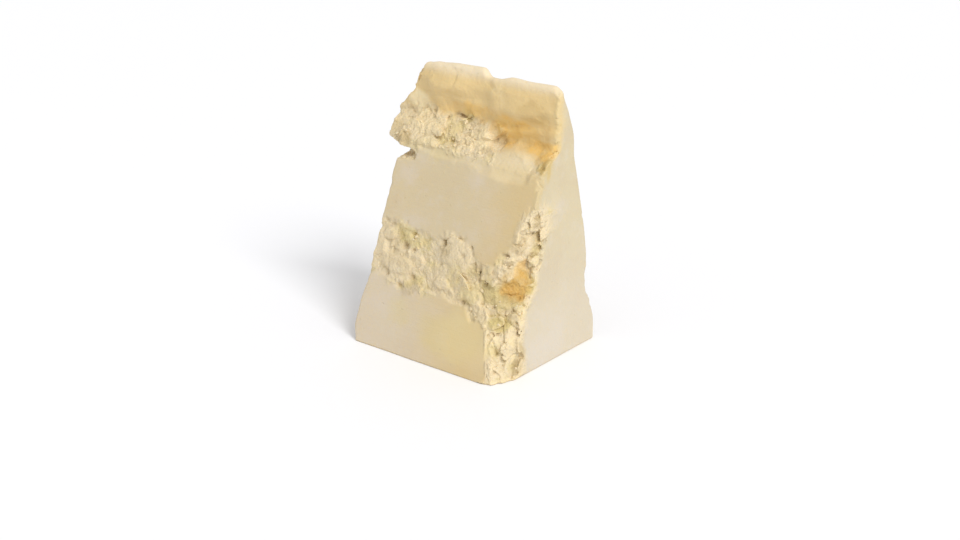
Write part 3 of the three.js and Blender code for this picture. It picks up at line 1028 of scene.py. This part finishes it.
class CheeseSettings(bpy.types.PropertyGroup):
    grid_step: size_setting("Grid step", "Finest detail of the wedge's surface", 0.00047, least=0.0004)
    flake_size: size_setting("Flake size", "Size of the largest flakes in torn paste", 0.0105)
    flake_depth: size_setting("Flake depth", "How far the largest flakes stand out", 0.0031)
    crisp_angle: angle_setting("Crisp angle", "Edges sharper than this look crisp", 34)
    most_triangles: setting("Most triangles", "The finished wedge has no more than these", 190000,
                            IntProperty, min=20000)
    crumb_count: setting("Crumbs", "How many crumbs cling to the torn paste", 170, IntProperty, min=0)
    crumb_size: size_setting("Crumb size", "Size that the crumbs' own sizes are a share of", 0.0024)
    cut_colour: colour_setting("Cut paste", "Smooth cut faces", (206, 189, 154))
    pale_colour: colour_setting("Pale paste", "Paler patches of the cut faces", (211, 198, 181))
    grey_colour: colour_setting("Dull paste", "Duller patches of the cut faces", (200, 180, 147))
    torn_colour: colour_setting("Torn paste", "Torn and crumbled faces", (218, 201, 167))
    # Tufts: paler patches in the mottling, and painted light on rises and ridges.
    tuft_colour: colour_setting("Tufts", "Edges of flakes in the torn paste", (229, 209, 168))
    # Painted light on the brightest tufts and on shaded places.
    painted_light_colour: colour_setting("Painted light", "The brightest tufts", (233, 214, 171))
    # Painted highlight along the tip's top edge.
    rim_highlight_colour: colour_setting("Rim highlight", "Painted highlight along the tip", (229, 212, 180))
    # Tan paste. On the torn wall below the tip it is partly painted glow of light shining through the thin
    # tip.
    tan_colour: colour_setting("Tan paste", "The smoother torn wall below the tip", (219, 192, 138))
    # Painted amber glow of light bouncing in hollows and shining through thin paste, with its darkest part
    # below.
    amber_glow_colour: colour_setting("Amber glow", "Painted glow of light in the deepest hollows", (226, 187, 112))
    deep_colour: colour_setting("Deep amber glow", "The darkest part of the painted amber glow", (212, 166, 88))
    # Painted warm glow of light shining through the paste near the front edge.
    warm_glow_colour: colour_setting("Warm glow", "Painted glow of light through the paste near the front edge", (208, 182, 128))
    # Duller yellow paste, also laid in patches as painted shade in pits and under overhangs.
    olive_colour: colour_setting("Olive paste", "Dull yellow patches in torn paste", (209, 191, 129))
    # Painted shade, multiplied into dips and hollows and laid into the pinholes.
    pit_colour: colour_setting("Pit shade", "Shade that collects in pits", (196, 177, 135))
    # Painted shade, multiplied into the shade patches and the corner's creases.
    shade_colour: colour_setting("Painted shade", "Painted shade in creases, hollows and under overhangs", (206, 197, 173))
    side_colour: colour_setting("Cool side", "Cools the narrow cut face", (247, 251, 255))
    rind_colour: colour_setting("Rind", "The rind underneath", (196, 168, 112))


class StudioSettings(bpy.types.PropertyGroup):
    focal_length: setting("Focal length", "The camera's lens, in millimetres", 63.1, min=10)
    distance: size_setting("Distance", "From the camera to what it aims at", 0.8)
    azimuth: angle_setting("Azimuth", "Turn of the camera round the wedge, from straight in front", 38.8)
    elevation: angle_setting("Elevation", "The camera's angle above the floor", 21.5)
    aim: setting("Aim", "What the camera aims at, from the middle of the wedge's foot",
                 (0.0037, 0.0, 0.0371), FloatVectorProperty, subtype="TRANSLATION")
    floor_colour: colour_setting("Floor", "The plain floor", (244, 244, 246))
    fill: setting("Fill light", "Even white light from all round", 0.70, min=0)
    key: setting("Key light", "The wide soft light from the right", 2.1, min=0)


# ---------------------------------------------------------------- operators


class CHEESE_OT_wedge(bpy.types.Operator):
    """Builds the wedge of cheese with its cut faces, torn band, scoop and crumbled corner"""

    bl_idname = "cheese.wedge"
    bl_label = "Cheese wedge"

    def execute(self, context):
        settings = context.scene.cheese
        step = settings.grid_step / MM
        field, low = wedge_field(step, settings.flake_size / MM, settings.flake_depth / MM)
        places, quads = largest_part(*surface(field, low, step))
        wedge = mesh_object("wedge", places, quads)
        thin_out(wedge, settings.most_triangles)
        soften(wedge, settings)
        finish_mesh(wedge.data)
        wedge.data.materials.append(wedge_material(settings))
        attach(wedge, "root")
        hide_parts(NODE)
        return {"FINISHED"}


def soften(piece, settings):
    """Shades the piece smoothly, apart from the crisp edges of its flakes."""
    piece.data.shade_smooth()
    piece.data.set_sharp_from_angle(angle=settings.crisp_angle)


def wedge_origin():
    """Where the middle of the wedge's foot lies: its right and back sides meet those of the CAD box."""
    return Vector((CAD_HIGH.x - HALF_WIDTH * MM, CAD_HIGH.y - CHORD / 2 * MM, CAD_LOW.z))


def finish_mesh(mesh):
    """Adds the masks that the material reads, and moves the mesh from its millimetres into place."""
    blunt_spikes(mesh)
    masks = zones(read(mesh.vertices, "co"))
    for name in ("cavity", "dip"):
        masks[name] = surroundings(mesh, ROUNDS[name])[1]
    for name, values in masks.items():
        layer = mesh.attributes.new(name, "FLOAT", "POINT")
        layer.data.foreach_set("value", np.asarray(values, np.float32))
    mesh.transform(Matrix.Translation(wedge_origin()) @ Matrix.Scale(MM, 4))
    mesh.update()


class CHEESE_OT_crumbs(bpy.types.Operator):
    """Scatters small crumbs that cling to the torn paste, as one joined piece"""

    bl_idname = "cheese.crumbs"
    bl_label = "Crumbs"

    def execute(self, context):
        settings = context.scene.cheese
        wedge = bpy.data.objects.get("wedge")
        if wedge is None:
            raise RuntimeError("Build the cheese wedge before its crumbs")
        rng = np.random.default_rng(SEED + 60)
        corners, triangles = crumb_shape()
        places = []
        for spot, normal in zip(*resting_places(wedge.data, rng, settings.crumb_count)):
            size = settings.crumb_size * (CRUMB["least"] + CRUMB["range"] * rng.random() ** CRUMB["rarity"])
            lumps = rng.normal(size=(len(corners), 1)).clip(-CRUMB["most"], CRUMB["most"])
            shape = corners * (1 + CRUMB["lumps"] * lumps) * rng.uniform(*CRUMB["length"], 3)
            turn, _ = np.linalg.qr(rng.normal(size=(3, 3)))
            places.append(spot + normal * size * CRUMB["lift"] + size * shape @ turn)
        faces = [triangles + len(corners) * number for number in range(len(places))]
        crumbs = mesh_object("crumbs", np.concatenate(places), np.concatenate(faces))
        soften(crumbs, settings)
        crumbs.data.materials.append(crumb_material(settings))
        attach(crumbs, "root")
        return {"FINISHED"}


def crumb_shape():
    """The corners and triangles of a ball of unit radius that each crumb is bent from."""
    made = bmesh.new()
    bmesh.ops.create_icosphere(made, subdivisions=2, radius=1.0)
    made.verts.ensure_lookup_table()
    corners = np.array([vertex.co for vertex in made.verts])
    triangles = np.array([[vertex.index for vertex in face.verts] for face in made.faces])
    made.free()
    return corners, triangles


def resting_places(mesh, rng, count):
    """Places and normals on torn paste that faces out or up, more often in its hollows."""
    torn, cavity, amber_glow = (
        read(mesh.attributes[name].data, "value", 1)[:, 0] for name in ("torn", "cavity", "amber_glow")
    )
    normals = read(mesh.vertex_normals, "vector")
    chance = (torn > REST["torn"]) * (amber_glow < REST["amber_glow"]) * np.clip(normals[:, 2] + REST["overhang"], 0, 1)
    chance = chance * (REST["outside"] + np.clip(cavity, 0, 1))
    picked = rng.choice(len(chance), count, replace=False, p=chance / chance.sum())
    return read(mesh.vertices, "co")[picked], normals[picked]


class CHEESE_OT_studio(bpy.types.Operator):
    """Builds the plain floor, soft lights and camera"""

    bl_idname = "cheese.studio"
    bl_label = "Studio"

    def execute(self, context):
        settings = context.scene.studio
        context.scene.view_settings.view_transform = "Standard"
        lay_floor(context, settings)
        white_surround(context.scene, settings.fill)
        lamp = bpy.data.lights.new("key", "SUN")
        lamp.energy = settings.key
        lamp.angle = math.radians(KEY["spread"])
        towards = direction(math.radians(KEY["azimuth"]), math.radians(KEY["elevation"]))
        linked("key", lamp).matrix_world = looking(towards, towards)
        camera = bpy.data.cameras.new("camera")
        camera.lens = settings.focal_length
        camera.sensor_width = 36
        camera.clip_start = 0.01
        holder = linked("camera", camera)
        back = direction(settings.azimuth, settings.elevation)
        holder.matrix_world = looking(wedge_origin() + Vector(settings.aim) + back * settings.distance, back)
        context.scene.camera = holder
        return {"FINISHED"}


def lay_floor(context, settings):
    """A plain floor with the faintest clouds."""
    bpy.ops.mesh.primitive_plane_add(size=6)
    floor = context.active_object
    floor.name = "floor"
    made, tree, shader = material("Floor")
    clouds = noise(tree, own_place(tree), scale=3.0, detail=2.0, roughness=0.5)
    dimmer = tuple(part * FLOOR_DIMMING for part in settings.floor_colour)
    colour = blend(tree, clouds, rgba(settings.floor_colour), rgba(dimmer))
    tree.links.new(colour, shader.inputs["Base Color"])
    shader.inputs["Roughness"].default_value = 0.6
    floor.data.materials.append(made)


def white_surround(scene, strength):
    """An even surround that looks white and lights the cheese with the given strength."""
    scene.world = bpy.data.worlds.new("Studio")
    scene.world.use_nodes = True
    tree = scene.world.node_tree
    background = tree.nodes["Background"]
    background.inputs["Color"].default_value = (1, 1, 1, 1)
    seen = add(tree, "LightPath").outputs["Is Camera Ray"]
    levels = add(tree, "MapRange", {"Value": seen, "To Min": strength, "To Max": 1.0})
    tree.links.new(levels.outputs["Result"], background.inputs["Strength"])


def direction(azimuth, elevation):
    """The unit vector from the wedge towards a place round it, with azimuth 0 at the front, along -Y."""
    flat = math.cos(elevation)
    return Vector((math.sin(azimuth) * flat, -math.cos(azimuth) * flat, math.sin(elevation)))


def looking(place, back):
    """The matrix of something at a place that looks away from the direction back."""
    right = Vector((0, 0, 1)).cross(back).normalized()
    turned = Matrix((right, back.cross(right), back)).transposed().to_4x4()
    return Matrix.Translation(place) @ turned


class CHEESE_PT_panel(bpy.types.Panel):
    """Lists what can be built and its settings"""

    bl_idname = "CHEESE_PT_panel"
    bl_label = "Cheese wedge"
    bl_space_type = "VIEW_3D"
    bl_region_type = "UI"
    bl_category = "Cheese"

    def draw(self, context):
        for group in (context.scene.cheese, context.scene.studio):
            for name in group.__annotations__:
                self.layout.prop(group, name)
        for operator in OPERATORS:
            self.layout.operator(operator.bl_idname)


OPERATORS = (CHEESE_OT_wedge, CHEESE_OT_crumbs, CHEESE_OT_studio)
CLASSES = (CheeseSettings, StudioSettings, *OPERATORS, CHEESE_PT_panel)


def register():
    for made in CLASSES:
        bpy.utils.register_class(made)
    bpy.types.Scene.cheese = PointerProperty(type=CheeseSettings)
    bpy.types.Scene.studio = PointerProperty(type=StudioSettings)


def unregister():
    del bpy.types.Scene.cheese
    del bpy.types.Scene.studio
    for made in reversed(CLASSES):
        bpy.utils.unregister_class(made)


def main():
    register()
    bpy.ops.cheese.wedge()
    bpy.ops.cheese.crumbs()
    bpy.ops.cheese.studio()


if __name__ == "__main__":
    main()
